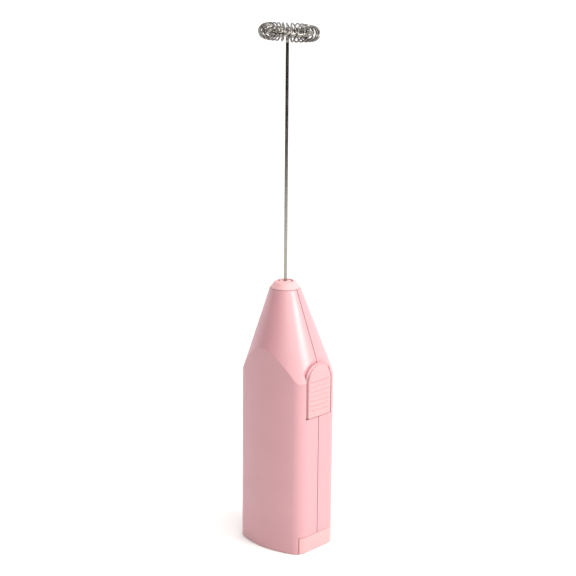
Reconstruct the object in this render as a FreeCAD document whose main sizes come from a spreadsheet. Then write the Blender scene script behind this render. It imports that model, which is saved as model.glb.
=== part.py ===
"""Battery milk frother: a two-half moulded body, slide switch, small motor and coil whisk.

Frame: millimetres, +Z up along the whisk shaft, origin on the shaft's axis at the flat foot,
+X towards the slide switch, -Y towards the front broad face.
"""
import FreeCAD, Part

import math
import os
import re

import Sketcher
from FreeCAD import Placement, Rotation, Vector

# ---------------------------------------------------------------- driving sizes, in millimetres
SIZES = {
    # moulded body
    "wall": 1.8,
    "side_room": 1.15,           # cell to a narrow side's wall
    "depth_room": 5.9,           # cell to a broad face's wall
    "bulge": 4.2,               # rise of a broad face's arc
    "corner_radius": 5.5,
    "foot_round": 0.5,
    "shoulder_rise": 17.07,      # from the bulkhead to where the cone reaches the body's corners
    "shoulder_margin": 0.06,
    "cone_height": 36.5,
    "roof": 1.8,                 # wall under the nose cap
    "seam_gap": 0.24,
    "lip_height": 0.9,           # tongue that crosses the seam
    "lip_inset": 1.0,
    "lip_clearance": 0.06,
    "rib": 1.2,
    # nose cap and bush
    "neck_wall": 1.95,
    "neck_rise": 1.5,
    "cap_clearance": 0.1,
    "cap_skirt": 2.0,
    "cap_height": 2.9,
    "cap_rim": 0.95,
    "cap_round": 1.5,
    "moat": 0.75,                # open ring between the cap's rim and the bush's boss
    "boss_wall": 1.7,
    "boss_drop": 0.15,           # boss's top below the cap's top
    "boss_round": 0.4,
    "flange_thickness": 0.6,
    "sleeve_wall": 1.6,
    "sleeve_length": 5.4,        # bush's sleeve below the cap's seat
    "static_clearance": 0.05,
    "running_clearance": 0.05,
    # whisk
    "wire_radius": 0.75,
    "shaft_exposed": 102.3,      # from the cap's top to the centre of the hoop
    "hoop_radius": 9.4,
    "hoop_offset": 0.6,          # hoop's centre past the shaft, away from the spoke
    "hoop_sweep": 338.0,         # degrees of hoop, measured from where the spoke joins it
    "hoop_tilt": 3.0,            # degrees
    "spoke_bearing": 222.0,      # degrees from +X
    "bend_radius": 2.6,
    "turn_radius": 2.6,
    "coil_radius": 3.2,          # outside of the coil's turns
    "coil_wire_radius": 0.35,
    "coil_turns": 28.0,
    "coil_clearance": 0.15,
    # slide switch
    "pocket_depth": 1.7,
    "pocket_half": 7.8,
    "pocket_ledge": 1.42,        # wall under the pocket
    "pocket_floor": 1.5,
    "plate_half": 6.9,
    "plate_gap": 0.3,            # plate's lower end to the pocket's
    "plate_length": 22.2,
    "plate_lift": 0.06,          # plate's back clear of the pocket's floor
    "plate_rise": 0.55,          # plate's face beyond the body's side
    "plate_round": 0.8,
    "grip_radius": 0.9,
    "grip_rise": 0.35,
    "grip_margin": 1.05,         # plate's sides and lower end to the grips
    "grip_start": 2.0,
    "grip_pitch": 2.05,
    "grip_count": 8.0,
    "stem_half": 2.0,
    "stem_start": 6.4,           # stem above the plate's lower end
    "stem_height": 6.0,
    "slot_clearance": 0.2,
    "switch_travel": 4.0,
    "slider_thickness": 2.1,
    "slider_half": 4.5,
    "slider_overlap": 3.0,       # slider past the stem, above and below
    "leaf_thickness": 0.3,
    "finger_reach": 0.8,
    "finger_half": 0.6,
    "finger_height": 2.0,
    "strip": 0.4,                # thickness of the stamped strips
    "strip_clearance": 0.1,
    "strip_room": 2.45,          # motor to the nearest strip
    "strip_middle": 2.2,         # strips either side of the parting plane
    "strip_half": 0.8,
    # cells and their contacts
    "cell_radius": 7.1,
    "cell_length": 50.5,
    "cell_gap": 0.7,
    "cell_clearance": 0.4,
    "nub_radius": 2.6,
    "nub_height": 1.0,
    "contact_clearance": 0.03,
    "pad_height": 0.7,
    "pad_radius": 2.0,
    "dome_height": 2.4,
    "contact_half": 3.2,
    "bulkhead_thickness": 1.6,
    # battery cover
    "cover_plate": 1.8,
    "cover_clearance": 0.12,
    "leg_half": 10.1,
    "leg_height": 7.2,
    "leg_gap": 0.3,              # open line down each side of a leg
    "tongue_height": 10.0,
    "tongue_thickness": 1.4,
    # motor
    "motor_radius": 10.0,
    "motor_lift": 0.2,
    "end_cap_height": 2.4,
    "can_height": 23.0,
    "can_wall": 0.6,
    "motor_boss_radius": 3.1,
    "motor_boss_height": 1.6,
    "magnet_thickness": 2.6,
    "magnet_half": 5.0,
    "magnet_height": 18.0,
    "rotor_gap": 0.4,
    "flat_gap": 0.5,             # rotor to the can's flat walls
    "rotor_height": 13.0,
    "rotor_slot": 1.2,
    "commutator_radius": 2.3,
    "motor_shaft_radius": 1.0,
    "motor_shaft_grip": 5.0,     # motor shaft inside the coupling
    "coupling_wall": 1.6,
    "coupling_rise": 4.8,        # from the motor's boss to the coupling
    "coupling_gap": 3.2,         # from the coupling to the bush
    "terminal_half": 1.0,
    "terminal_out": 1.1,         # tabs past the motor's flat
    "terminal_offset": 6.0,
    "guard_half": 5.0,
    "guard_height": 3.8,
}

# sizes and levels that follow from the driving ones
DERIVED = {
    # across the body, from the shaft's axis
    "slider_back": "motor_radius + strip_room + strip + strip_clearance + finger_reach"
                   " + leaf_thickness + slider_thickness",
    "backing_face": "slider_back + static_clearance",
    "pocket_face": "backing_face + pocket_floor",
    "body_right": "pocket_face + pocket_depth",
    "button_face": "body_right + plate_rise",
    "leaf_face": "slider_back - slider_thickness",
    "finger_tip": "leaf_face - leaf_thickness - finger_reach",
    "strip_face": "finger_tip - strip_clearance",
    "cells_half": "2 * cell_radius + cell_gap / 2 + side_room + wall",
    "motor_half": "(body_right + motor_radius + 2 * rib + wall) / 2",
    "half_width": "max(cells_half; motor_half)",
    "body_middle": "body_right - half_width",
    "body_left": "body_middle - half_width",
    "half_depth": "cell_radius + depth_room + wall",
    "rotor_radius": "motor_radius - can_wall - magnet_thickness - rotor_gap",
    "motor_flat": "rotor_radius + flat_gap + can_wall",
    "terminal_reach": "motor_flat + terminal_out",
    "left_cell": "body_middle - cell_radius - cell_gap / 2",
    "right_cell": "body_middle + cell_radius + cell_gap / 2",
    # a broad face is an arc through both sharp corners and its own crown
    "broad_radius": "(half_width ^ 2 + bulge ^ 2) / (2 * bulge)",
    "corner_across": "half_width - corner_radius",
    "corner_reach": "sqrt((broad_radius - corner_radius) ^ 2 - corner_across ^ 2)",
    "corner_deep": "corner_reach - broad_radius + half_depth",
    "corner_distance": "sqrt(corner_across ^ 2 + corner_deep ^ 2)",
    "shoulder_radius": "corner_distance + corner_radius + shoulder_margin",
    # nose, from the wire outwards
    "bush_bore": "wire_radius + running_clearance",
    "boss_radius": "bush_bore + boss_wall",
    "sleeve_radius": "bush_bore + sleeve_wall",
    "neck_radius": "sleeve_radius + static_clearance + neck_wall",
    "cap_recess": "neck_radius + cap_clearance",
    "cap_opening": "boss_radius + moat",
    "cap_top_radius": "cap_opening + cap_rim",
    "seat_radius": "cap_recess + cap_skirt",
    "cone_slope": "(shoulder_radius - seat_radius) / cone_height",
    "cone_slant": "sqrt(1 + cone_slope ^ 2)",
    "cone_lean": "body_middle / cone_height",
    # levels, from the foot up
    "cell_low": "cover_plate + strip + dome_height",
    "cell_high": "cell_low + cell_length",
    "plate_low": "cell_high + contact_clearance + pad_height",
    "bulkhead_low": "plate_low + strip",
    "bulkhead_high": "bulkhead_low + bulkhead_thickness",
    "backing_low": "bulkhead_high + static_clearance",
    "pocket_low": "backing_low + pocket_ledge",
    "button_low": "pocket_low + plate_gap",
    "button_high": "button_low + plate_length",
    "arch_level": "button_high - plate_half",
    "stem_low": "button_low + stem_start",
    "stem_high": "stem_low + stem_height",
    "slider_low": "stem_low - slider_overlap",
    "slider_high": "stem_high + slider_overlap",
    "finger_high": "stem_low + finger_height",
    "shoulder": "bulkhead_high + shoulder_rise",
    "backing_high": "shoulder + half_depth",
    "seat": "shoulder + cone_height",
    "neck_top": "seat + neck_rise",
    "flange_top": "neck_top + flange_thickness",
    "cap_top": "seat + cap_height",
    "boss_top": "cap_top - boss_drop",
    "sleeve_low": "seat - sleeve_length",
    "hoop_level": "cap_top + shaft_exposed",
    "motor_low": "bulkhead_high + motor_lift",
    "terminal_level": "motor_low + end_cap_height / 2",
    "can_low": "motor_low + end_cap_height",
    "can_high": "can_low + can_height",
    "motor_boss_top": "can_high + motor_boss_height",
    "coupling_low": "motor_boss_top + coupling_rise",
    "coupling_high": "sleeve_low - coupling_gap",
    "motor_shaft_top": "coupling_low + motor_shaft_grip",
}

document = FreeCAD.newDocument("milk_frother")
sheet = document.addObject("Spreadsheet::Sheet", "sizes")
for row, (word, number) in enumerate(SIZES.items(), start=1):
    sheet.set(f"A{row}", word)
    sheet.set(f"B{row}", str(number))
    sheet.setAlias(f"B{row}", word)


def tie(rule):
    """The rule as an expression: each named size becomes its cell or its derived value."""
    def owner(word):
        if word[0] in SIZES:
            return f"sizes.{word[0]}"
        return f"derived.{word[0]}" if word[0] in DERIVED else word[0]
    return re.sub(r"[a-z_]+", owner, rule)


derived = document.addObject("App::VarSet", "derived")
for word in DERIVED:
    derived.addProperty("App::PropertyFloat", word)
for word, rule in DERIVED.items():
    derived.setExpression(word, tie(rule))
document.recompute()


# ---------------------------------------------------------------- ways of making a piece
def value(rule):
    """The rule's number, now."""
    return float(sheet.evalExpression(tie(rule)))


def tied(kind, name, rules, place=("0", "0", "0")):
    """A document object whose properties and position follow the sheet."""
    item = document.addObject(kind, name)
    for quantity, rule in rules.items():
        item.setExpression(quantity, tie(rule))
    for axis, rule in zip("xyz", place):
        item.setExpression(f"Placement.Base.{axis}", tie(rule))
    return item


def block(name, x, y, z):
    """A box between two planes on each axis."""
    rules = {
        "Length": f"({x[1]}) - ({x[0]})",
        "Width": f"({y[1]}) - ({y[0]})",
        "Height": f"({z[1]}) - ({z[0]})",
    }
    return tied("Part::Box", name, rules, (x[0], y[0], z[0]))


def rod(name, radius, z, centre=("0", "0")):
    """An upright cylinder between two heights."""
    rules = {"Radius": radius, "Height": f"({z[1]}) - ({z[0]})"}
    return tied("Part::Cylinder", name, rules, (centre[0], centre[1], z[0]))


def cross_rod(name, radius, half_length, x, z):
    """A cylinder that lies along Y, centred on the parting plane."""
    rules = {"Radius": radius, "Height": f"2 * ({half_length})"}
    item = tied("Part::Cylinder", name, rules, (x, f"-({half_length})", z))
    item.Placement.Rotation = Rotation(Vector(1, 0, 0), -90)
    return item


def joined(name, *pieces):
    item = document.addObject("Part::MultiFuse", name)
    item.Shapes = list(pieces)
    item.Refine = True
    return item


def shared(name, *pieces):
    item = document.addObject("Part::MultiCommon", name)
    item.Shapes = list(pieces)
    return item


def cut(name, base, *tools):
    item = document.addObject("Part::Cut", name)
    item.Base = base
    item.Tool = tools[0] if len(tools) == 1 else joined(f"{name}_tools", *tools)
    return item


def rounded(name, base, radius, choose):
    """Round the edges of base that choose picks."""
    document.recompute()
    item = document.addObject("Part::Fillet", name)
    item.Base = base
    size = value(radius)
    item.Edges = [
        (number, size, size)
        for number, edge in enumerate(base.Shape.Edges, start=1)
        if choose(edge)
    ]
    return item


def turned(name, corners, rounds=()):
    """A body turned about Z from a closed outline of (radius, height) corners.

    Each of rounds is (radius, height, round): the ring edge there and its rounding.
    """
    body = document.addObject("PartDesign::Body", name)
    plane = next(item for item in body.Origin.OriginFeatures if item.Role == "XZ_Plane")
    sketch = body.newObject("Sketcher::SketchObject", f"{name}_outline")
    sketch.AttachmentSupport = [(plane, "")]
    sketch.MapMode = "FlatFace"
    points = [Vector(value(across), value(up), 0) for across, up in corners]
    count = len(corners)
    for index in range(count):
        sketch.addGeometry(Part.LineSegment(points[index], points[(index + 1) % count]))
    for index in range(count):
        sketch.addConstraint(Sketcher.Constraint("Coincident", index, 2, (index + 1) % count, 1))
    for index, corner in enumerate(corners):
        for kind, axis, rule in zip(("DistanceX", "DistanceY"), (-2, -1), corner):
            if rule == "0":
                sketch.addConstraint(Sketcher.Constraint("PointOnObject", index, 1, axis))
                continue
            entry = Sketcher.Constraint(kind, -1, 1, index, 1, value(rule))
            number = sketch.addConstraint(entry)
            sketch.setExpression(f"Constraints[{number}]", tie(rule))
    turning = body.newObject("PartDesign::Revolution", f"{name}_turning")
    turning.Profile = sketch
    turning.ReferenceAxis = (sketch, ["V_Axis"])
    turning.Angle = 360
    feature = turning
    for index, (across, up, size) in enumerate(rounds):
        document.recompute()
        ring = ring_edge(feature.Shape, value(across), value(up))
        fillet = body.newObject("PartDesign::Fillet", f"{name}_round_{index}")
        fillet.Base = (feature, [ring])
        fillet.setExpression("Radius", tie(size))
        feature = fillet
    return body


def ring_edge(shape, radius, height):
    """The name of the circular edge with this radius at this height."""
    for number, edge in enumerate(shape.Edges, start=1):
        curve = edge.Curve
        if isinstance(curve, Part.Circle) and abs(curve.Center.z - height) < 0.01:
            if abs(curve.Radius - radius) < 0.01:
                return f"Edge{number}"
    raise ValueError(f"no ring of radius {radius} at height {height}")


# ---------------------------------------------------------------- the body's outer form
SPILL = "1"                      # a cutting tool's reach past the surface it cuts
SIDE_TO_SIDE = ("-2 * half_width", "2 * half_width")


def prism(name, inset, z, foot_rounded=False):
    """The body's plan shape, drawn in by inset, between two heights."""
    x = (f"body_left + ({inset})", f"body_right - ({inset})")
    y = (f"-half_depth - {SPILL}", f"half_depth + {SPILL}")
    arc = f"broad_radius - ({inset})"
    blank = block(f"{name}_blank", x, y, z)
    front = rod(f"{name}_front", arc, z, ("body_middle", "broad_radius - half_depth"))
    rear = rod(f"{name}_rear", arc, z, ("body_middle", "half_depth - broad_radius"))
    sharp = shared(f"{name}_sharp", blank, front, rear)
    if not foot_rounded:
        return rounded(name, sharp, f"corner_radius - ({inset})", upright)
    cornered = rounded(f"{name}_cornered", sharp, f"corner_radius - ({inset})", upright)
    return rounded(name, cornered, "foot_round", at_foot)


def upright(edge):
    box = edge.BoundBox
    return box.XLength < 0.01 and box.YLength < 0.01


def at_foot(edge):
    return edge.BoundBox.ZMax < 0.01


def cone(name, inset):
    """The oblique cone that sharpens the body, drawn in by inset, from the foot to the nose."""
    rings = []
    for level, height in (("low", "0"), ("high", "seat")):
        radius = f"seat_radius + cone_slope * (seat - {height}) - cone_slant * ({inset})"
        place = (f"cone_lean * (seat - {height})", "0", height)
        ring = tied("Part::Circle", f"{name}_{level}", {"Radius": radius}, place)
        ring.Placement.Rotation = Rotation(Vector(0, 0, 1), 45)
        rings.append(ring)
    item = document.addObject("Part::Loft", name)
    item.Sections = rings
    item.Solid = True
    item.Ruled = True
    return item


def pencil(name, inset, top, foot_rounded=False):
    """Prism and cone together: the body's form, drawn in by inset, up to a height."""
    bar = prism(f"{name}_prism", inset, ("0", top), foot_rounded)
    return shared(name, bar, cone(f"{name}_cone", inset))


# ---------------------------------------------------------------- moulded body halves
def body_ribs(form):
    """Ribs inside both halves: three beside the cells and two against the motor's flats."""
    by_cell = "cell_radius + cell_clearance"
    by_motor = "motor_flat + static_clearance"
    over_cells = ("tongue_height", f"plate_low - {SPILL}")
    beside_motor = ("can_low + rib", "can_high")
    rows = (
        ("left", "left_cell", by_cell, over_cells),
        ("middle", "body_middle", "cell_radius / 2", ("tongue_height", "bulkhead_low")),
        ("right", "right_cell", by_cell, over_cells),
        ("motor_left", "-motor_radius / 2", by_motor, beside_motor),
        ("motor_right", "motor_radius / 2", by_motor, beside_motor),
    )
    ribs = []
    for name, middle, reach, z in rows:
        x = (f"{middle} - rib / 2", f"{middle} + rib / 2")
        ribs.append(block(f"rib_{name}_front", x, ("-half_depth", f"-({reach})"), z))
        ribs.append(block(f"rib_{name}_rear", x, (reach, "half_depth"), z))
    backing_y = ("-pocket_half - pocket_floor", "pocket_half + pocket_floor")
    backing_z = ("backing_low", "backing_high")
    backing = block("pocket_backing", ("backing_face", "body_right"), backing_y, backing_z)
    return shared("ribs_inside", joined("ribs", backing, *ribs), form)


def shell_openings():
    """Bush bore, switch pocket with its slot, and the notches for the cover's legs."""
    bore = rod("bush_hole", "sleeve_radius + static_clearance", ("sleeve_low", f"neck_top + {SPILL}"))
    pocket = block(
        "pocket",
        ("pocket_face", f"body_right + {SPILL}"),
        ("-pocket_half", "pocket_half"),
        ("pocket_low", "seat"),
    )
    slot = block(
        "switch_slot",
        (f"backing_face - {SPILL}", f"pocket_face + {SPILL}"),
        ("-stem_half - slot_clearance", "stem_half + slot_clearance"),
        ("stem_low - slot_clearance", "stem_high + switch_travel + slot_clearance"),
    )
    notch_y = ("-leg_half - leg_gap", "leg_half + leg_gap")
    notch_z = (f"-{SPILL}", "leg_height + cover_clearance")
    left = block("notch_left", (f"body_left - {SPILL}", "body_left + corner_radius"), notch_y, notch_z)
    right = block("notch_right", ("body_right - corner_radius", f"body_right + {SPILL}"), notch_y, notch_z)
    return joined("shell_openings", bore, pocket, slot, left, right)


def seam_band(name, grow, y):
    """The tongue across the seam, or with grow its groove: a band inside the wall's thickness."""
    z = (f"leg_height + cover_clearance - {grow}", f"seat - 2 * roof + {grow}")
    outer = pencil(f"{name}_outer", f"lip_inset - {grow}", "seat")
    return shared(f"{name}_blank", outer, block(f"{name}_slab", SIDE_TO_SIDE, y, z))


def shells():
    """Both moulded halves, with the seam's tongue on the front one."""
    form = pencil("form", "0", "seat", foot_rounded=True)
    neck = rod("neck", "neck_radius", ("seat - roof", "neck_top"))
    hollow = pencil("hollow", "wall", "seat - roof")
    walls = cut("walls", joined("form_and_neck", form, neck), hollow)
    openings = shell_openings()

    # tongue and groove stop short of the switch's pocket, which has no wall to carry them
    switch_side = block(
        "switch_side",
        ("backing_face - wall", f"body_right + {SPILL}"),
        ("-pocket_half", "pocket_half"),
        ("backing_low - rib", "seat"),
    )
    tongue_blank = seam_band("tongue", "0", ("-seam_gap", "lip_height"))
    groove_blank = seam_band("groove", "lip_clearance", ("0", "lip_height + lip_clearance"))
    core = pencil("seam_core", "wall + lip_clearance", "seat")
    tongue = cut("seam_tongue", tongue_blank, hollow, switch_side)
    groove = cut("seam_groove", groove_blank, core, switch_side)
    ribbed = joined("ribbed", walls, body_ribs(form))
    whole = cut("whole_shell", ribbed, openings)
    grooved = cut("grooved_shell", ribbed, openings, groove)

    tall = (f"-{SPILL}", "cap_top")
    front_space = block("front_space", SIDE_TO_SIDE, ("-2 * half_depth", "-seam_gap / 2"), tall)
    rear_space = block("rear_space", SIDE_TO_SIDE, ("seam_gap / 2", "2 * half_depth"), tall)
    front_half = shared("front_half", whole, front_space)
    front = joined("front_shell", front_half, tongue)
    rear = shared("rear_shell", grooved, rear_space)
    return [front, rear]


# ---------------------------------------------------------------- nose cap and shaft bush
def nose():
    """The ring that ties the halves together at the nose, and the bush it holds."""
    low = "seat + cap_clearance"
    web = "flange_top + static_clearance"
    cap = turned(
        "nose_cap",
        [
            ("cap_recess", low),
            ("seat_radius - cone_slope * cap_clearance", low),
            ("cap_top_radius", "cap_top"),
            ("cap_opening", "cap_top"),
            ("cap_opening", web),
            ("cap_recess", web),
        ],
        rounds=[("cap_top_radius", "cap_top", "cap_round")],
    )
    bush = turned(
        "nose_bush",
        [
            ("bush_bore", "sleeve_low"),
            ("sleeve_radius", "sleeve_low"),
            ("sleeve_radius", "neck_top"),
            ("neck_radius", "neck_top"),
            ("neck_radius", "flange_top"),
            ("boss_radius", "flange_top"),
            ("boss_radius", "boss_top"),
            ("bush_bore", "boss_top"),
        ],
        rounds=[("boss_radius", "boss_top", "boss_round")],
    )
    return [cap, bush]


# ---------------------------------------------------------------- whisk
def whisk():
    """The shaft wire with its bend, spoke and hoop, and the coil ring threaded on the hoop.

    The hoop's plane holds the spoke's direction and the level direction square to it.
    """
    wire = value("wire_radius")
    radius = value("hoop_radius")
    bearing = math.radians(value("spoke_bearing"))
    tilt = math.radians(value("hoop_tilt"))
    up = Vector(0, 0, 1)
    level = Vector(math.cos(bearing), math.sin(bearing), 0)
    along = level * math.cos(tilt) + up * math.sin(tilt)
    across = up.cross(level)
    normal = along.cross(across)
    elbow = Vector(0, 0, value("hoop_level"))
    centre = elbow - along * value("hoop_offset")

    # bend from the shaft into the spoke: a right angle less the tilt
    bend = value("bend_radius")
    setback = bend * math.tan((math.pi / 2 - tilt) / 2)
    bend_start = elbow - up * setback
    bend_end = elbow + along * setback
    pivot = bend_start + level * bend
    inward = ((bend_start + bend_end) * 0.5 - pivot).normalize()
    bend_middle = pivot + inward * bend

    # turn from the spoke into the hoop: its circle touches both
    turn = value("turn_radius")
    spoke_end = math.sqrt((radius - turn) ** 2 - turn ** 2)
    join = math.atan2(turn, spoke_end)
    half_way = (join - math.pi / 2) / 2

    def on_plane(a, b):
        return centre + along * a + across * b

    def on_hoop(angle):
        return on_plane(radius * math.cos(angle), radius * math.sin(angle))

    turn_start = on_plane(spoke_end, 0)
    turn_middle = on_plane(spoke_end + turn * math.cos(half_way), turn + turn * math.sin(half_way))
    sweep = math.radians(value("hoop_sweep"))
    foot = Vector(0, 0, value("motor_shaft_top + static_clearance"))
    spoke = [
        Part.LineSegment(bend_end, turn_start),
        Part.Arc(turn_start, turn_middle, on_hoop(join)),
    ]
    route = [
        Part.LineSegment(foot, bend_start),
        Part.Arc(bend_start, bend_middle, bend_end),
        *spoke,
        Part.Arc(on_hoop(join), on_hoop(join + sweep / 2), on_hoop(join + sweep)),
    ]
    shaft = document.addObject("Part::Feature", "whisk_shaft")
    shaft.Shape = round_bar(route, wire)

    # the coil stands in as a sleeve with the real wire's volume, open where the spoke enters
    coil = value("coil_radius")
    strand = value("coil_wire_radius")
    turn_length = 2 * math.pi * (coil - strand)
    volume = value("coil_turns") * turn_length * math.pi * strand ** 2
    bore = math.sqrt(coil ** 2 - volume / (2 * math.pi ** 2 * radius))
    solid_ring = Part.makeTorus(radius, coil, centre, normal)
    sleeve = solid_ring.cut(Part.makeTorus(radius, bore, centre, normal))
    gate = round_bar(spoke, wire + value("coil_clearance"))
    ring = document.addObject("Part::Feature", "whisk_coil")
    ring.Shape = sleeve.cut(gate).Solids[0]
    return [shaft, ring]


def round_bar(curves, radius):
    """A round bar swept along curves that follow each other without a corner."""
    start = curves[0]
    section = Part.makeCircle(radius, start.StartPoint, start.tangent(start.FirstParameter)[0])
    route = Part.Wire([curve.toShape() for curve in curves])
    return route.makePipeShell([Part.Wire(section)], True, False)


# ---------------------------------------------------------------- slide switch
def switch():
    """The ribbed button, its inner carrier and the sprung bridge."""
    back = "pocket_face + plate_lift"
    plate_x = (back, "button_face")
    plate_y = ("-plate_half", "plate_half")
    lower = block("plate_lower", plate_x, plate_y, ("button_low", "arch_level"))
    arch_rules = {"Radius": "plate_half", "Height": f"button_face - ({back})"}
    arch = tied("Part::Cylinder", "plate_arch", arch_rules, (back, "0", "arch_level"))
    arch.Placement.Rotation = Rotation(Vector(0, 1, 0), 90)
    plate = rounded("plate", joined("plate_sharp", lower, arch), "plate_round", on_button_face)
    grips = []
    for index in range(int(value("grip_count"))):
        x = "button_face + grip_rise - grip_radius"
        z = f"button_low + grip_start + {index} * grip_pitch"
        grips.append(cross_rod(f"grip_{index}", "grip_radius", "plate_half - grip_margin", x, z))
    proud = block("grip_space", (back, f"button_face + {SPILL}"), plate_y, ("button_low", "button_high"))
    ridges = shared("ridges", joined("grips", *grips), proud)
    stem_y = ("-stem_half", "stem_half")
    stem = block("stem", ("slider_back", back), stem_y, ("stem_low", "stem_high"))
    button = joined("switch_button", plate, stem, ridges)

    slider_y = ("-slider_half", "slider_half")
    carrier = block("switch_slider", ("leaf_face", "slider_back"), slider_y, ("slider_low", "slider_high"))

    leaf_back = "leaf_face - leaf_thickness"
    band_y = ("-strip_middle - strip_half", "strip_middle + strip_half")
    band_z = ("slider_low + slider_overlap / 2", "slider_high - slider_overlap / 2")
    pieces = [block("leaf_band", (leaf_back, "leaf_face"), band_y, band_z)]
    for side, middle in (("front", "-strip_middle"), ("rear", "strip_middle")):
        y = (f"{middle} - finger_half", f"{middle} + finger_half")
        pieces.append(block(f"finger_{side}", ("finger_tip", leaf_back), y, ("stem_low", "finger_high")))
    return [button, carrier, joined("switch_leaf", *pieces)]


def on_button_face(edge):
    box = edge.BoundBox
    return box.XLength < 0.001 and abs(box.XMin - value("button_face")) < 0.001


# ---------------------------------------------------------------- cells, contacts and bulkhead
def cell(name, x, nub_up):
    """One AA cell with its nub at the top or at the bottom."""
    if nub_up:
        shoulder, end, flat = "cell_high - nub_height", "cell_high", "cell_low"
    else:
        shoulder, end, flat = "cell_low + nub_height", "cell_low", "cell_high"
    item = turned(name, [
        ("0", flat),
        ("cell_radius", flat),
        ("cell_radius", shoulder),
        ("nub_radius", shoulder),
        ("nub_radius", end),
        ("0", end),
    ])
    item.setExpression("Placement.Base.x", tie(x))
    return item


STRIP_X = ("strip_face - strip", "strip_face")
CONTACT_Y = ("-contact_half", "contact_half")
FOOT_Y = ("terminal_reach - strip", "terminal_reach")
PLUS_Y = ("-strip_middle - strip_half", "-strip_middle + strip_half")
MINUS_X = ("-terminal_offset - terminal_half", "-terminal_offset + terminal_half")


def top_contacts():
    """The two contacts under the bulkhead, each with a riser through it."""
    plate_z = ("plate_low", "bulkhead_low")
    pad_z = ("cell_high + contact_clearance", "bulkhead_low")
    plus_z = ("plate_low", "finger_high + switch_travel")
    plus = joined(
        "contact_plus",
        block("plus_plate", ("right_cell - contact_half", "strip_face"), CONTACT_Y, plate_z),
        rod("plus_pad", "pad_radius", pad_z, ("right_cell", "0")),
        block("plus_riser", STRIP_X, PLUS_Y, plus_z),
    )
    minus_plate_x = (
        f"min(left_cell - contact_half; {MINUS_X[0]})",
        f"max(left_cell + contact_half; {MINUS_X[1]})",
    )
    minus = joined(
        "contact_minus",
        block("minus_plate", minus_plate_x, CONTACT_Y, plate_z),
        rod("minus_pad", "pad_radius", pad_z, ("left_cell", "0")),
        block("minus_arm", MINUS_X, ("0", "terminal_reach"), plate_z),
        block("minus_riser", MINUS_X, FOOT_Y, ("plate_low", "terminal_level")),
    )
    return [plus, minus]


def switch_strip():
    """The strip that the switch connects to the motor's second terminal."""
    low = "terminal_level + strip"
    bridge_top = f"{low} + 2 * terminal_half"
    live_top = "finger_high + switch_travel"
    bus_low = "strip_middle + 2 * strip_half"
    bus_high = "strip_middle + 3 * strip_half"
    live = ("finger_high + switch_travel / 4", live_top)
    return joined(
        "switch_strip",
        block("strip_live", STRIP_X, ("strip_middle - strip_half", bus_high), live),
        block("strip_bus", STRIP_X, (bus_low, bus_high), (low, live_top)),
        block("strip_bridge", STRIP_X, (bus_low, "terminal_reach"), (low, bridge_top)),
        block("strip_foot", ("terminal_offset - terminal_half", "strip_face"), FOOT_Y, (low, bridge_top)),
    )


def bridge_contact():
    """The strip in the cover that joins the cells in series, with a dome under each cell."""
    floor = "cover_plate + strip"
    dome_rules = {
        "Radius1": "pad_radius + strip",
        "Radius2": "pad_radius / 2",
        "Height": "dome_height - contact_clearance",
    }
    x = ("left_cell - contact_half", "right_cell + contact_half")
    pieces = [block("bridge_strip", x, CONTACT_Y, ("cover_plate", floor))]
    for middle in ("left_cell", "right_cell"):
        pieces.append(tied("Part::Cone", f"dome_{middle}", dome_rules, (middle, "0", floor)))
    return joined("bridge_contact", *pieces)


def bulkhead():
    """The partition above the cells, with guards beside the motor and slots for the risers."""
    floor = prism("bulkhead_floor", "wall + static_clearance", ("bulkhead_low", "bulkhead_high"))
    near = "motor_radius + static_clearance"
    far = f"{near} + rib"
    guard_y = ("-guard_half", "guard_half")
    guard_z = ("bulkhead_low", "bulkhead_high + guard_height")
    left = block("guard_left", (f"-({far})", f"-({near})"), guard_y, guard_z)
    right = block("guard_right", (near, far), guard_y, guard_z)
    plus_slot = slot_round("plus_slot", STRIP_X, PLUS_Y)
    minus_slot = slot_round("minus_slot", MINUS_X, FOOT_Y)
    return cut("bulkhead", joined("bulkhead_blank", floor, left, right), plus_slot, minus_slot)


def slot_round(name, x, y):
    """A slot through the bulkhead that clears a riser on every side."""
    gap = "2 * static_clearance"
    through = (f"bulkhead_low - {SPILL}", f"bulkhead_high + {SPILL}")
    around_x = (f"{x[0]} - {gap}", f"{x[1]} + {gap}")
    around_y = (f"{y[0]} - {gap}", f"{y[1]} + {gap}")
    return block(name, around_x, around_y, through)


# ---------------------------------------------------------------- battery cover
def cover():
    """Base plate inside the broad walls, a leg in each narrow side and two inner tongues."""
    base = prism("cover_base", "wall + cover_clearance", ("0", "cover_plate"))
    outline = prism("cover_outline", "0", ("0", "leg_height"), foot_rounded=True)
    leg_y = ("-leg_half", "leg_half")
    leg_z = ("0", "leg_height")
    left = block("leg_left", ("body_left", "body_left + wall"), leg_y, leg_z)
    right = block("leg_right", ("body_right - wall", "body_right"), leg_y, leg_z)
    bar = block("cover_bar", ("body_left", "body_right"), leg_y, ("0", "cover_plate"))
    legs = shared("legs", joined("legs_blank", left, right, bar), outline)
    x = ("body_middle + rib", "right_cell - rib")
    z = ("0", "tongue_height")
    far = "half_depth - wall - 2 * cover_clearance - rib"
    near = f"{far} - tongue_thickness"
    front = block("tongue_front", x, (f"-({far})", f"-({near})"), z)
    rear = block("tongue_rear", x, (near, far), z)
    return joined("battery_cover", base, legs, front, rear)


# ---------------------------------------------------------------- motor and drive
def flat_sided(name, radius, flat, z):
    """A round bar with two flats that face the broad faces."""
    drum = rod(f"{name}_round", radius, z)
    flats = block(f"{name}_flats", (f"-({radius})", radius), (f"-({flat})", flat), z)
    return shared(name, drum, flats)


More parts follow.
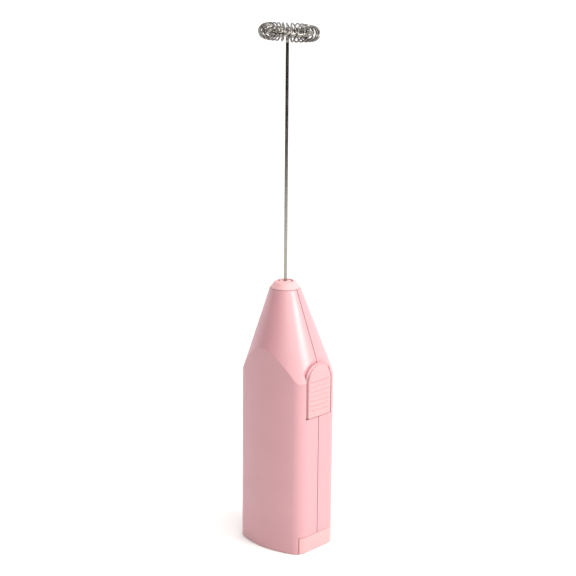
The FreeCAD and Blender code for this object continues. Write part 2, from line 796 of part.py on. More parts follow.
def motor_casing():
    """Drawn can with its bearing, magnets, end bell and terminals."""
    roof = "can_high - can_wall"
    bore = "motor_radius - can_wall"
    seat_radius = "motor_boss_radius - can_wall"
    seat_top = "motor_boss_top - can_wall"
    shaft_hole = "motor_shaft_radius + running_clearance"
    drum = joined(
        "can_drum",
        flat_sided("can_outside", "motor_radius", "motor_flat", ("can_low", "can_high")),
        rod("can_boss", "motor_boss_radius", (roof, "motor_boss_top")),
    )
    can = cut(
        "motor_can",
        drum,
        flat_sided("can_inside", bore, "motor_flat - can_wall", (f"can_low - {SPILL}", roof)),
        rod("bearing_seat", seat_radius, (f"{roof} - {SPILL}", seat_top)),
        rod("can_hole", f"{shaft_hole} + 3 * running_clearance", (roof, f"motor_boss_top + {SPILL}")),
    )
    bearing = turned("motor_bearing", [
        (shaft_hole, roof),
        (seat_radius, roof),
        (seat_radius, seat_top),
        (shaft_hole, seat_top),
    ])
    end_cap = cut(
        "motor_end_cap",
        flat_sided("end_cap_blank", "motor_radius", "motor_flat", ("motor_low", "can_low")),
        rod("end_cap_bore", shaft_hole, ("motor_low + can_wall", f"can_low + {SPILL}")),
        *terminals("terminal_slot"),
    )
    tabs = joined("motor_terminals", *terminals("terminal"))
    magnet_z = ("can_low + rib", "can_low + rib + magnet_height")
    ring = cut(
        "magnet_ring",
        rod("magnet_outside", bore, magnet_z),
        rod("magnet_inside", f"{bore} - magnet_thickness", ("can_low", "can_high")),
    )
    band = block("magnet_band", ("-motor_radius", "motor_radius"), ("-magnet_half", "magnet_half"), magnet_z)
    return [can, bearing, end_cap, tabs, shared("motor_magnets", ring, band)]


def terminals(name):
    """The two tabs that leave the end bell towards the rear."""
    y = ("terminal_offset / 2", "terminal_reach")
    z = ("terminal_level", "terminal_level + strip")
    pieces = []
    for side, middle in (("left", "-terminal_offset"), ("right", "terminal_offset")):
        x = (f"{middle} - terminal_half", f"{middle} + terminal_half")
        pieces.append(block(f"{name}_{side}", x, y, z))
    return pieces


def drive():
    """Rotor, motor shaft and the sleeve that joins it to the whisk's shaft."""
    core_low = "can_low + rib + (magnet_height - rotor_height) / 2"
    core_high = f"{core_low} + rotor_height"
    core = rod("rotor_core", "rotor_radius", (core_low, core_high))
    commutator = rod("commutator", "commutator_radius", ("can_low + rotor_gap", core_high))
    bore = rod("rotor_bore", "motor_shaft_radius", ("can_low", "can_high"))
    slot_x = ("2 * commutator_radius", f"rotor_radius + {SPILL}")
    slot_y = ("-rotor_slot / 2", "rotor_slot / 2")
    slot_z = (f"{core_low} - {SPILL}", f"{core_high} + {SPILL}")
    slots = []
    for index in range(3):
        slot = block(f"winding_slot_{index}", slot_x, slot_y, slot_z)
        slots.append(spun(slot, f"rotor_slot_{index}", 120 * index))
    rotor = cut("motor_rotor", joined("rotor_blank", core, commutator), bore, *slots)
    shaft_z = ("motor_low + 2 * can_wall", "motor_shaft_top")
    shaft = rod("motor_shaft", "motor_shaft_radius", shaft_z)
    outer = "max(motor_shaft_radius; wire_radius) + coupling_wall"
    coupling = turned("drive_coupling", [
        ("motor_shaft_radius", "coupling_low"),
        (outer, "coupling_low"),
        (outer, "coupling_high"),
        ("wire_radius", "coupling_high"),
        ("wire_radius", "motor_shaft_top"),
        ("motor_shaft_radius", "motor_shaft_top"),
    ])
    return [rotor, shaft, coupling]


def spun(piece, name, degrees):
    """The piece turned about the shaft's axis."""
    item = document.addObject("Part::Compound", name)
    item.Links = [piece]
    item.Placement = Placement(Vector(0, 0, 0), Rotation(Vector(0, 0, 1), degrees))
    return item


# ---------------------------------------------------------------- assembly and output
nodes = [
    *shells(),
    *nose(),
    *whisk(),
    *switch(),
    cell("battery_left", "left_cell", nub_up=False),
    cell("battery_right", "right_cell", nub_up=True),
    *top_contacts(),
    switch_strip(),
    bridge_contact(),
    bulkhead(),
    cover(),
    *motor_casing(),
    *drive(),
]
document.recompute()

for item in document.Objects:
    if "Invalid" in item.State or "Error" in item.State:
        raise RuntimeError(f"{item.Name} did not recompute: {item.State}")
for node in nodes:
    node.Label = node.Name
    if node.Shape.isNull() or not node.Shape.isValid() or not node.Shape.Solids:
        raise RuntimeError(f"{node.Name} has no valid solid")

os.makedirs("parts", exist_ok=True)
for node in nodes:
    node.Shape.exportStep(f"parts/{node.Label}.step")
    print(f"{node.Label:18} {len(node.Shape.Solids)} solid(s) {node.Shape.Volume:10.2f} mm3")
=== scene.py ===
"""Looks of a battery milk frother: pink moulded body, slide switch and steel whisk."""
import math

import bmesh
import bpy
import numpy as np
from mathutils import Matrix, Vector


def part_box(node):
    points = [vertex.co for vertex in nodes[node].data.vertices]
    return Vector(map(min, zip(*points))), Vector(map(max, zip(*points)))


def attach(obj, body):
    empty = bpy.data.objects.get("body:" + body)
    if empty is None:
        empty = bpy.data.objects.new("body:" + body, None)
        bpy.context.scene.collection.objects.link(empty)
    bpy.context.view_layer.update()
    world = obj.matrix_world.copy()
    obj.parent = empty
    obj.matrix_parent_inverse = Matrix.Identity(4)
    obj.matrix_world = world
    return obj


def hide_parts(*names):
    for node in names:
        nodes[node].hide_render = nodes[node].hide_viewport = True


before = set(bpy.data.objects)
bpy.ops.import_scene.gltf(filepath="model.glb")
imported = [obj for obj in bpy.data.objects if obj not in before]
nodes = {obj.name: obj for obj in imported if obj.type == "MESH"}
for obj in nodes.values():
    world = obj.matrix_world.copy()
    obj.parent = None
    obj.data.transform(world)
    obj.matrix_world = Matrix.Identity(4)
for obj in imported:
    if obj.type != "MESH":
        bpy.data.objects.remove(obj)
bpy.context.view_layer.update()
scene = bpy.context.scene
MM = 0.001

# ---------------------------------------------------------------- body halves
# The body is two shells of pink ABS, injection moulded with a fine satin texture and
# joined on a seam round the narrow sides. The gloss is soft, and the colour is even
# but for the faint flow marks that the melt leaves and a painted shade along the seam.
BODY_PINK = "#CD979E"
BODY_PINK_FLOW = "#C9949B"
FLOW_MARK = 14 * MM
SATIN_GRAIN = 0.7 * MM           # coarser than the real 0.1 mm so that it shows
SATIN_HEIGHT = 0.02 * MM
SATIN_GLOSS = 0.37               # roughness of the semi-gloss shells
GLOSS_SPREAD = 0.03              # flow marks change the roughness this much each way
ABS_IOR = 1.54
POLISH = 0.7                     # specular level, set above the usual 0.5
EDGE_ROUND = 0.5 * MM
PAINTED_SEAM_SHADE = "#A0696F"           # painted shade either side of y = 0, the dark of the thin gap, which helps it to show
SEAM_HALF = 0.125 * MM
SEAM_FADE = 1.2                  # the shade ends between the half width and this many times it
NOISE_LOW, NOISE_HIGH = 0.3, 0.7  # nearly all of a noise pattern lies between these


def linear(code):
    """sRGB hex to linear: c / 12.92 up to 0.04045, above it ((c + 0.055) / 1.055) ^ 2.4."""
    parts = [int(code[at:at + 2], 16) / 255 for at in (1, 3, 5)]
    return (*[c / 12.92 if c <= 0.04045 else ((c + 0.055) / 1.055) ** 2.4 for c in parts], 1.0)


def add(material, kind, sockets=None, **settings):
    """Adds a node: settings are its own, and each socket gets a value or another's output."""
    made = material.node_tree.nodes.new(kind)
    for name, setting in settings.items():
        setattr(made, name, setting)
    for name, entry in (sockets or {}).items():
        if isinstance(entry, bpy.types.NodeSocket):
            material.node_tree.links.new(entry, made.inputs[name])
        else:
            made.inputs[name].default_value = entry
    return made


def start(name):
    """An empty material, and the object's own coordinates in metres."""
    material = bpy.data.materials.new(name)
    material.use_nodes = True
    material.node_tree.nodes.clear()
    place = add(material, "ShaderNodeTexCoord").outputs["Object"]
    return material, place


def close(material, shader):
    """Sends the shader to the material's output."""
    add(material, "ShaderNodeOutputMaterial", {"Surface": shader.outputs["BSDF"]})
    return material


def between(material, share, low, high):
    """A number that goes evenly from low to high as the noise goes from its low to its high."""
    noise_range = {"From Min": NOISE_LOW, "From Max": NOISE_HIGH}
    sockets = {"Value": share, **noise_range, "To Min": low, "To Max": high}
    return add(material, "ShaderNodeMapRange", sockets).outputs["Result"]


def blended(material, share, first, second):
    """A colour between two, by share."""
    sockets = {0: share, 6: linear(first), 7: linear(second)}
    return add(material, "ShaderNodeMix", sockets, data_type="RGBA").outputs[2]


def with_seam_shade(material, place, skin, shade):
    """The colour of the skin, but painted shade of the seam's gap where |y| is less than the seam's half
    width.
    """
    across = add(material, "ShaderNodeSeparateXYZ", {"Vector": place}).outputs["Y"]
    aside = add(material, "ShaderNodeMath", {0: across}, operation="ABSOLUTE").outputs["Value"]
    edge = {"From Min": SEAM_HALF, "From Max": SEAM_HALF * SEAM_FADE, "To Min": 1.0, "To Max": 0.0}
    inside = add(material, "ShaderNodeMapRange", {"Value": aside, **edge}).outputs["Result"]
    sockets = {0: inside, 6: skin, 7: linear(shade)}
    return add(material, "ShaderNodeMix", sockets, data_type="RGBA").outputs[2]


def moulded(name, colour, flow, roughness, grain=0.05, seam=None):
    """Injection-moulded plastic: opaque, semi-gloss, with a satin grain, soft edges and, if given, a
    painted shade along the seam.
    """
    material, place = start(name)
    marks = add(material, "ShaderNodeTexNoise", {"Vector": place, "Scale": 1 / FLOW_MARK}).outputs["Fac"]
    satin = add(material, "ShaderNodeTexNoise", {"Vector": place, "Scale": 1 / SATIN_GRAIN})
    rim = add(material, "ShaderNodeBevel", {"Radius": EDGE_ROUND}, samples=6)
    bump = add(material, "ShaderNodeBump", {
        "Height": satin.outputs["Fac"],
        "Strength": grain,
        "Distance": SATIN_HEIGHT,
        "Normal": rim.outputs["Normal"],
    })
    skin = blended(material, between(material, marks, 0.0, 1.0), colour, flow)
    # a seam colour is painted shade: the dark of the gap between the halves
    if seam:
        skin = with_seam_shade(material, place, skin, seam)
    return close(material, add(material, "ShaderNodeBsdfPrincipled", {
        "Base Color": skin,
        "Roughness": between(material, marks, roughness - GLOSS_SPREAD, roughness + GLOSS_SPREAD),
        "Normal": bump.outputs["Normal"],
        "IOR": ABS_IOR,
        "Specular IOR Level": POLISH,
    }))


def dress(material, *names):
    """Gives CAD nodes their material."""
    for name in names:
        mesh = nodes[name].data
        if not mesh.materials:
            mesh.materials.append(material)
        for index in range(len(mesh.materials)):
            mesh.materials[index] = material


# the shells' seam line is painted shade
shell_abs = moulded("pink_abs_moulded_satin", BODY_PINK, BODY_PINK_FLOW, SATIN_GLOSS, seam=PAINTED_SEAM_SHADE)
dress(shell_abs, "front_shell", "rear_shell")

# ---------------------------------------------------------------- bulkhead
# The partition between the cells and the motor is white ABS, moulded with the same faint
# grain, so it is even and semi-gloss. It is trapped between the two shells.
WHITE, WHITE_FLOW = "#E9E6E0", "#E2DED6"
dress(moulded("white_abs_moulded_bulkhead", WHITE, WHITE_FLOW, 0.4), "bulkhead")

# ---------------------------------------------------------------- contacts
# The strips that carry the current are nickel-plated brass, stamped from sheet, so they
# are a warm pale metal with faint rolling lines. The sprung one is redder phosphor bronze.
NICKEL, NICKEL_STAIN = "#D9CBA6", "#C8B88F"
BRONZE, BRONZE_STAIN = "#C58A55", "#B0763F"
ROLLING_LINE = 0.25 * MM
LINE_HEIGHT = 0.01 * MM
LINE_RELIEF = 0.12
BRIGHTER, DULLER = 0.04, 0.06    # what the lines take from the roughness and add to it


def rolled_metal(name, colour, stain, roughness, line, stretch=(1, 1, 0.05)):
    """Sheet, bar or wire metal: lines of the rolls or of the die, drawn out along one axis."""
    material, place = start(name)
    along = add(material, "ShaderNodeMapping", {"Vector": place, "Scale": stretch})
    grain = {"Vector": along.outputs["Vector"], "Scale": 1 / line, "Detail": 3.0}
    lines = add(material, "ShaderNodeTexNoise", grain).outputs["Fac"]
    relief = {"Height": lines, "Strength": LINE_RELIEF, "Distance": LINE_HEIGHT}
    bump = add(material, "ShaderNodeBump", relief)
    return close(material, add(material, "ShaderNodeBsdfPrincipled", {
        "Base Color": blended(material, between(material, lines, 0.0, 1.0), colour, stain),
        "Metallic": 1.0,
        "Roughness": between(material, lines, roughness - BRIGHTER, roughness + DULLER),
        "Normal": bump.outputs["Normal"],
    }))


strip_brass = rolled_metal("nickel_plated_brass_stamped", NICKEL, NICKEL_STAIN, 0.28, ROLLING_LINE)
dress(strip_brass, "contact_plus", "contact_minus", "switch_strip", "bridge_contact", "motor_terminals")
leaf_bronze = rolled_metal("phosphor_bronze_spring", BRONZE, BRONZE_STAIN, 0.3, ROLLING_LINE)
dress(leaf_bronze, "switch_leaf")

# ---------------------------------------------------------------- cells
# Two plain alkaline AA cells: a PVC sleeve shrunk on a steel can, printed dark green with a
# copper-coloured band at the end with the nub. The film is glossy and slightly wavy.
CELL_SLEEVE = "#2F4A3E"
CELL_BAND = "#C79A4B"
BAND_HEIGHT = 14 * MM
FILM_WAVE = 3 * MM
FILM_RELIEF = 0.05 * MM
FILM_STRENGTH = 0.1
FILM_GLOSS, FILM_HAZE = 0.22, 0.3


def shrunk_sleeve(name, node_name):
    """Shrunk PVC film, with the band where z is past a level near the end with the nub."""
    low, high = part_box(node_name)
    nub_up = node_name == "battery_right"
    material, place = start(name)
    height = add(material, "ShaderNodeSeparateXYZ", {"Vector": place}).outputs["Z"]
    band_from = high.z - BAND_HEIGHT if nub_up else low.z + BAND_HEIGHT
    compare = "GREATER_THAN" if nub_up else "LESS_THAN"
    band = add(material, "ShaderNodeMath", {0: height, 1: band_from}, operation=compare)
    film = add(material, "ShaderNodeTexNoise", {"Vector": place, "Scale": 1 / FILM_WAVE}).outputs["Fac"]
    relief = {"Height": film, "Strength": FILM_STRENGTH, "Distance": FILM_RELIEF}
    bump = add(material, "ShaderNodeBump", relief)
    return close(material, add(material, "ShaderNodeBsdfPrincipled", {
        "Base Color": blended(material, band.outputs["Value"], CELL_SLEEVE, CELL_BAND),
        "Roughness": between(material, film, FILM_GLOSS, FILM_HAZE),
        "Normal": bump.outputs["Normal"],
    }))


for cell in ("battery_left", "battery_right"):
    dress(shrunk_sleeve(f"pvc_sleeve_{cell}", cell), cell)

# ---------------------------------------------------------------- battery cover
# The cover is one moulding of the satin ABS in a paler pink: a base plate with a leg on
# each narrow side, which slides on from below and is held by its two tongues.
COVER_PINK, COVER_PINK_FLOW = "#D9A4A7", "#D6A1A4"
dress(moulded("pink_abs_moulded_cover", COVER_PINK, COVER_PINK_FLOW, 0.38), "battery_cover")

# ---------------------------------------------------------------- motor
# A small flat-sided motor: a can drawn from zinc-plated steel, a black nylon end bell, ferrite
# magnets and a bronze bearing, both sintered and so even and dull, and a rotor of lacquered
# laminations, whose edges are lines across the shaft.
DRAWING_LINE = 0.4 * MM
GRINDING_LINE = 0.15 * MM
SINTER_GRAIN = 0.3 * MM
LAMINATION = 0.5 * MM
EVEN = (1, 1, 1)
STACKED = (0.05, 0.05, 1)
MAGNET_GRAIN = 0.3
can_steel = rolled_metal("zinc_plated_steel_drawn", "#C9CBCC", "#B7BABD", 0.3, DRAWING_LINE)
dress(can_steel, "motor_can")
dress(moulded("black_nylon_moulded", "#1D1D1F", "#232326", 0.45), "motor_end_cap")
dress(rolled_metal("bronze_sintered", "#A9783F", "#8C6232", 0.5, SINTER_GRAIN, EVEN), "motor_bearing")
dress(moulded("grey_ferrite_sintered", "#3A3B3E", "#45464A", 0.6, MAGNET_GRAIN), "motor_magnets")
stack_steel = rolled_metal(
    "steel_laminations_lacquered", "#7C7468", "#5E574D", 0.45, LAMINATION, STACKED,
)
dress(stack_steel, "motor_rotor")
dress(rolled_metal("carbon_steel_ground", "#BDBCB9", "#A9A8A5", 0.22, GRINDING_LINE), "motor_shaft")
dress(moulded("natural_nylon_moulded", "#E6E1D3", "#DDD7C7", 0.42), "drive_coupling")

# ---------------------------------------------------------------- whisk shaft
# One length of drawn stainless wire makes the shaft, the spoke and the hoop. It is bright,
# with die lines along the wire. They are drawn upright on the spoke and the hoop too.
STEEL, STEEL_STAIN = "#AFAAA3", "#9F9A93"
DIE_LINE = 0.2 * MM
dress(rolled_metal("stainless_wire_drawn", STEEL, STEEL_STAIN, 0.16, DIE_LINE), "whisk_shaft")

# ---------------------------------------------------------------- whisk coil
# A long spring of thin stainless wire is threaded on the hoop and closed into a ring. Its
# turns part where the spoke comes in, and lie at slightly different slants. The wire is
# bright and smooth, with wide stains rather than die lines.
SPRING_STEEL, SPRING_STAIN = "#878380", "#75716D"  # darker than the shaft: painted shade for the dark inside of the coil
STAIN_SIZE = 1.5 * MM
COIL_TURNS = 28
STRAND = 0.35 * MM               # radius of the coil's wire
GATE = math.radians(21)          # room between the turns either side of the spoke
SPOKE_BEARING = math.radians(222)
HOOP_TILT = math.radians(3)
SLANT = 0.10                     # each turn leans this much round the hoop, in radians
SLANT_DRIFT = 0.05               # slow change of the lean, three times round the hoop
SLANT_JITTER = 0.03              # quick change, seven times round
SHRINK = 0.02                    # turns are up to twice this share smaller, five times round
HOOP_RADIUS = 9.4 * MM
COIL_RADIUS = 3.2 * MM
STEPS = 64                       # points along one turn
ROUND = 12                       # points round the wire


def closed_tube(path, outward, radius, count):
    """Circles of count points round a closed line, square to it, joined into a tube.

    The circles' first direction is outward, made square to the line.
    """
    along = np.roll(path, -1, 0) - np.roll(path, 1, 0)
    along /= np.linalg.norm(along, axis=1)[:, None]
    first = outward - along * np.sum(outward * along, axis=1)[:, None]
    first /= np.linalg.norm(first, axis=1)[:, None]
    second = np.cross(along, first)
    turn = np.linspace(0, 2 * np.pi, count, endpoint=False)
    circle = first[:, None] * np.cos(turn)[:, None] + second[:, None] * np.sin(turn)[:, None]
    vertices = (path[:, None] + radius * circle).reshape(-1, 3)
    row = np.arange(len(path))[:, None] * count
    column = np.arange(count)[None]
    next_row = np.roll(row, -1, 0)
    next_column = np.roll(column, -1, 1)
    quads = np.stack([row + column, next_row + column, next_row + next_column, row + next_column], -1)
    return vertices, quads.reshape(-1, 4)[:, ::-1]


def put(name, vertices, faces, material, body, replaced):
    """A mesh piece with smooth faces, riding on a CAD body in place of a CAD node."""
    mesh = bpy.data.meshes.new(name)
    mesh.from_pydata(vertices.tolist(), [], faces.tolist())
    mesh.materials.append(material)
    mesh.shade_smooth()
    mesh.update()
    piece = bpy.data.objects.new(name, mesh)
    scene.collection.objects.link(piece)
    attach(piece, body)
    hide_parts(replaced)
    return piece


def coil_line():
    """The spring's centre line, and its direction away from the hoop at each point.

    The line is a circle of the turn's radius carried round the hoop.

    The way round the hoop grows evenly with the winding, plus one wider step at the spoke.
    Each turn slants by a sum of sines of that way, and its radius varies by another.
    """
    winding = np.arange(COIL_TURNS * STEPS) / STEPS
    even = (2 * np.pi - GATE) / (COIL_TURNS - 1)
    wide_step = np.clip(winding, 0, 1)
    wide_step = wide_step * wide_step * (3 - 2 * wide_step)
    round_hoop = even * (winding - wide_step) + GATE * wide_step - GATE / 2
    slant = SLANT + SLANT_DRIFT * np.sin(3 * round_hoop + 1.0) + SLANT_JITTER * np.sin(7 * round_hoop)
    circle = 2 * np.pi * winding + np.pi
    round_hoop = round_hoop + slant * np.sin(circle) * (HOOP_RADIUS - COIL_RADIUS) / HOOP_RADIUS
    turn_radius = (COIL_RADIUS - STRAND) * (1 - SHRINK * (1 + np.sin(5 * round_hoop + 2)))
    level = Vector((math.cos(SPOKE_BEARING), math.sin(SPOKE_BEARING), 0))
    up = Vector((0, 0, 1))
    along = level * math.cos(HOOP_TILT) + up * math.sin(HOOP_TILT)
    across = up.cross(level)
    normal = along.cross(across)
    low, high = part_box("whisk_coil")
    centre = (low + high) / 2
    radial = np.outer(np.cos(round_hoop), along) + np.outer(np.sin(round_hoop), across)
    outward = radial * np.cos(circle)[:, None] + np.outer(np.sin(circle), normal)
    return np.array(centre) + radial * HOOP_RADIUS + outward * turn_radius[:, None], outward


coil_vertices, coil_faces = closed_tube(*coil_line(), STRAND, ROUND)
coil_steel = rolled_metal("stainless_spring_wire", SPRING_STEEL, SPRING_STAIN, 0.1, STAIN_SIZE, EVEN)
put("whisk_spring", coil_vertices, coil_faces, coil_steel, "whisk", "whisk_coil")

# ---------------------------------------------------------------- nose cap and bush
# The cap is a separate ring of paler pink ABS pushed over the shells' neck. The bush in
# its middle is the same plastic, and the shaft turns in it.
NOSE_PINK, NOSE_PINK_FLOW = "#E2ACAF", "#DFA9AC"
dress(moulded("pink_abs_moulded_nose", NOSE_PINK, NOSE_PINK_FLOW, 0.45), "nose_cap", "nose_bush")

# ---------------------------------------------------------------- slide switch
# The button is moulded in the paler pink: a thick plate with an arched top, a well rounded
# rim and soft grip ridges, and a stem through the pocket's slot to a black carrier inside.
BUTTON_PINK, BUTTON_PINK_FLOW = "#D39EA2", "#D09BA0"
RIM_ROUND = 0.5 * MM
RIM_STEPS = 9
FACE_RINGS = 36
OUTLINE_POINTS = 96              # along each of the outline's six stretches
FOOT_CORNER = 0.9 * MM           # radius of the plate's two lower corners
RIDGE_RISE = 0.35 * MM           # crests above the plate's face
VALLEY = 0.28 * MM               # valleys below it
RIDGE_PITCH = 2.05 * MM
RIDGES = 8
FIRST_RIDGE = 2.0 * MM           # above the plate's lower end
RIDGE_END = 0.8 * MM             # plate's side to the ridges' ends
RIDGE_FADE = 0.7 * MM            # length of the slope at a ridge's end
ROW_FADE = 0.25                  # the row of ridges fades out over this share of a pitch
ROUNDNESS = 0.6                  # under 1, crests are broad and valleys narrow
PLATE_DEPTH = 2.19 * MM          # face to back
SKIRT = 0.6 * MM                 # a guess: the foot, down in the recess, is wider and pales the gap
FOOT_SKIRT = 0.15 * MM           # wider only this much at the lower end, near the recess's edge
SKIRT_DEPTH = 1.25 * MM          # face to the top of the foot
STEM_HALF = 2.0 * MM
STEM_START = 6.4 * MM            # above the plate's lower end
STEM_HEIGHT = 6.0 * MM
STEM_SINK = 0.4 * MM             # the stem runs a little way into the plate
WELD = 0.002 * MM                # points nearer than this become one


def plate_outline(low, high, half, inset):
    """The plate's outline drawn in by inset: two lower corners, straight sides, half circle.

    Each stretch has as many points, with y across and z up, once round.
    """
    count = OUTLINE_POINTS
    corner = FOOT_CORNER - inset
    side, foot, arch = half - inset, low + max(inset, -FOOT_SKIRT), high - half
    turn = np.linspace(0, 1, count, endpoint=False)
    quarter = turn * np.pi / 2
    half_turn = turn * np.pi
    right = np.column_stack([np.full(count, side), foot + corner + turn * (arch - foot - corner)])
    top = np.column_stack([side * np.cos(half_turn), arch + side * np.sin(half_turn)])
    left = np.column_stack([np.full(count, -side), arch - turn * (arch - foot - corner)])
    to_foot = np.column_stack([
        -side + corner - corner * np.cos(quarter), foot + corner - corner * np.sin(quarter),
    ])
    base = np.column_stack([(-side + corner) + turn * 2 * (side - corner), np.full(count, foot)])
    to_side = np.column_stack([
        side - corner + corner * np.sin(quarter), foot + corner - corner * np.cos(quarter),
    ])
    return np.concatenate([right, top, left, to_foot, base, to_side])


def ridge_height(y, z, low, half):
    """Rounded ridges with narrow valleys: |cos| to the power of the roundness, faded at the ends."""
    up = (z - low - FIRST_RIDGE) / RIDGE_PITCH
    inside = np.clip(np.minimum(up + 0.5, RIDGES - 0.5 - up) / ROW_FADE, 0, 1)
    fade = np.clip((half - RIDGE_END - np.abs(y)) / RIDGE_FADE, 0, 1)
    wave = np.abs(np.cos(np.pi * up)) ** ROUNDNESS
    return ((RIDGE_RISE + VALLEY) * wave - VALLEY) * inside * fade * fade * (3 - 2 * fade)


def plate(low, high):
    """Rings of one outline: over the plate's back, up its skirt, side and rim, in over its face.

    On the back and the face a ring is a mix of the outline and the spine, the middle line
    from half a width above the lower end to the arch's centre. The ridges lift the face.
    """
    half, face = high.y, high.x - RIDGE_RISE
    back_face = face - PLATE_DEPTH
    rim = np.linspace(0, np.pi / 2, RIM_STEPS)
    insets = [-SKIRT, -SKIRT, 0.0, *(RIM_ROUND * (1 - np.cos(rim)))]
    skirt_top = face - SKIRT_DEPTH
    depths = [back_face, skirt_top, skirt_top, *(face - RIM_ROUND + RIM_ROUND * np.sin(rim))]
    lines = [plate_outline(low.z, high.z, half, inset) for inset in insets]
    sides = [np.insert(line, 0, x, axis=1) for line, x in zip(lines, depths)]
    edge = lines[-1]
    spine = np.column_stack([0 * edge[:, 1], np.clip(edge[:, 1], low.z + half, high.z - half)])
    share = np.linspace(0, 1, FACE_RINGS)[1:, None, None]
    top = edge * (1 - share) + spine * share
    lift = face + ridge_height(top[..., 0], top[..., 1], low.z, half)
    rings = np.concatenate([
        np.insert(spine, 0, back_face, axis=1)[None], np.stack(sides), np.dstack([lift, top]),
    ])
    count = len(edge)
    row = np.arange(len(rings) - 1)[:, None] * count
    column = np.arange(count)[None]
    beside = np.roll(column, -1, 1)
    quads = np.stack([row + column, row + beside, row + count + beside, row + count + column], -1)
    return rings.reshape(-1, 3), quads.reshape(-1, 4)


def block(low, high):
    """A block's eight corners and its six faces."""
    corners = np.where(np.indices((2, 2, 2)).reshape(3, -1).T, high, low)
    sides = ((0, 1, 3, 2), (4, 6, 7, 5), (0, 4, 5, 1), (2, 3, 7, 6), (0, 2, 6, 4), (1, 5, 7, 3))
    return corners, np.array(sides)


def weld(piece):
    """Merges points that coincide, and turns every face outwards."""
    form = bmesh.new()
    form.from_mesh(piece.data)
    bmesh.ops.remove_doubles(form, verts=form.verts, dist=WELD)
    bmesh.ops.recalc_face_normals(form, faces=form.faces)
    form.to_mesh(piece.data)
    form.free()
    piece.data.shade_smooth()


button_low, button_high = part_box("switch_button")
plate_points, plate_faces = plate(button_low, button_high)
stem_low = button_low.z + STEM_START
stem_points, stem_faces = block(
    (button_low.x, -STEM_HALF, stem_low),
    (button_high.x - RIDGE_RISE - PLATE_DEPTH + STEM_SINK, STEM_HALF, stem_low + STEM_HEIGHT),
)
button_points = np.concatenate([plate_points, stem_points])
button_faces = np.concatenate([plate_faces, stem_faces + len(plate_points)])
button_abs = moulded("pink_abs_moulded_button", BUTTON_PINK, BUTTON_PINK_FLOW, 0.4)
weld(put(
    "ridged_button", button_points, button_faces, button_abs, "switch", "switch_button",
))
dress(moulded("black_acetal_moulded", "#232325", "#2A2A2C", 0.4), "switch_slider")

# ---------------------------------------------------------------- floor, light and camera
# A white card floor, soft lights on the switch's side, in front and above, an even pale
# surround, and a dark felt screen that gives steel something dark to reflect. The screen is
# hidden from the camera, but its reflection and its shadow still show.
CAMERA_AZIMUTH = math.radians(42.3)
CAMERA_ELEVATION = math.radians(14.5)
CAMERA_DISTANCE = 0.656
CAMERA_HEIGHT = 0.111
LEAN = math.radians(0.5)
FOCAL_LENGTH, SENSOR = 98.5, 36
FRAME_SHIFT = 0.0047
FLOOR_REACH = 0.38               # ends well short of the screen, whose shadow greys a wider floor
FIBRES = 40.0                    # cloudy patches per metre, far wider than one fibre
FIBRE_SPREAD = 0.05              # the patches add up to this to the roughness
MATT = 0.1
SCREEN_FROM, SCREEN_TO = math.radians(-145), math.radians(45)
SCREEN_DISTANCE = 0.8
SCREEN_STEPS = 17
TALL_STEPS = 7                   # the screen is tall up to here, and low beyond
TALL, LOW = 1.0, 0.25
SURROUND = 1.28
LAMP_WHITE = (1.0, 0.98, 0.9)
LAMP_DISTANCE = 1.2
AIM = Vector((0, 0, 0.11))       # the middle of the frother


def stand(name, vertices, faces, material):
    """A mesh of the studio, not of the frother."""
    mesh = bpy.data.meshes.new(name)
    mesh.from_pydata(vertices.tolist(), [], faces.tolist())
    mesh.materials.append(material)
    item = bpy.data.objects.new(name, mesh)
    scene.collection.objects.link(item)
    return item


def plain(name, colour, roughness):
    """Matt card or felt: one colour, with the fibres only in the roughness."""
    material, place = start(name)
    fibre = add(material, "ShaderNodeTexNoise", {"Vector": place, "Scale": FIBRES})
    return close(material, add(material, "ShaderNodeBsdfPrincipled", {
        "Base Color": linear(colour),
        "Roughness": between(material, fibre.outputs["Fac"], roughness, roughness + FIBRE_SPREAD),
        "Specular IOR Level": MATT,
    }))


floor_points = np.array([(-1, -1, 0), (1, -1, 0), (1, 1, 0), (-1, 1, 0)]) * FLOOR_REACH
stand("floor", floor_points, np.array([(0, 1, 2, 3)]), plain("white_card_floor", "#FCFBFA", 0.8))

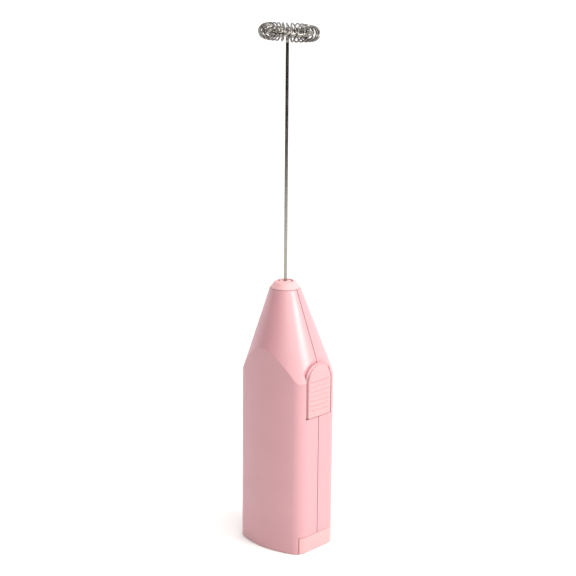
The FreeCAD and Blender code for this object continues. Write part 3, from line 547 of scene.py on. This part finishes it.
# the screen's lower and upper edges, an arc at one distance, with a quad between each two bearings
bearing = np.linspace(SCREEN_FROM, SCREEN_TO, SCREEN_STEPS)
ground = np.column_stack([np.cos(bearing), np.sin(bearing)]) * SCREEN_DISTANCE
upper = np.where(np.arange(SCREEN_STEPS) < TALL_STEPS, TALL, LOW)
screen_points = np.stack([np.insert(ground, 2, 0, axis=1), np.column_stack([ground, upper])], 1)
screen_faces = 2 * np.arange(SCREEN_STEPS - 1)[:, None] + np.array([0, 1, 3, 2])
black_felt = plain("black_felt", "#101010", 0.9)
felt = stand("felt_screen", screen_points.reshape(-1, 3), screen_faces, black_felt)
felt.visible_camera = False

world = bpy.data.worlds.new("pale_surround")
scene.world = world
world.use_nodes = True
world.node_tree.nodes["Background"].inputs["Color"].default_value = (1, 1, 1, 1)
world.node_tree.nodes["Background"].inputs["Strength"].default_value = SURROUND


def soft_light(name, bearing, elevation, width, height, power):
    """A softbox that faces the aim; bearing is from +X towards +Y, in degrees."""
    lamp = bpy.data.lights.new(name, "AREA")
    lamp.shape = "RECTANGLE"
    lamp.size = width
    lamp.size_y = height
    lamp.energy = power
    lamp.color = LAMP_WHITE
    item = bpy.data.objects.new(name, lamp)
    scene.collection.objects.link(item)
    a, e = math.radians(bearing), math.radians(elevation)
    away = Vector((math.cos(a) * math.cos(e), math.sin(a) * math.cos(e), math.sin(e)))
    item.location = AIM + away * LAMP_DISTANCE
    item.rotation_mode = "QUATERNION"
    item.rotation_quaternion = away.to_track_quat("Z", "Y")


soft_light("key_softbox", bearing=9, elevation=20, width=0.32, height=0.45, power=9)
soft_light("front_softbox", bearing=-28, elevation=34, width=0.6, height=0.6, power=2.4)
soft_light("top_softbox", bearing=5, elevation=68, width=0.5, height=0.5, power=2)

lens = bpy.data.cameras.new("camera")
lens.lens = FOCAL_LENGTH
lens.sensor_width = SENSOR
lens.shift_x = FRAME_SHIFT
camera = bpy.data.objects.new("camera", lens)
scene.collection.objects.link(camera)
scene.camera = camera
back = Vector((
    math.sin(CAMERA_AZIMUTH) * math.cos(CAMERA_ELEVATION),
    -math.cos(CAMERA_AZIMUTH) * math.cos(CAMERA_ELEVATION),
    math.sin(CAMERA_ELEVATION),
))
turned = back.to_track_quat("Z", "Y").to_matrix().to_4x4() @ Matrix.Rotation(LEAN, 4, "Z")
camera.matrix_world = Matrix.Translation(Vector((0, 0, CAMERA_HEIGHT)) + back * CAMERA_DISTANCE) @ turned
scene.view_settings.view_transform = "Standard"
scene.view_settings.look = "None"
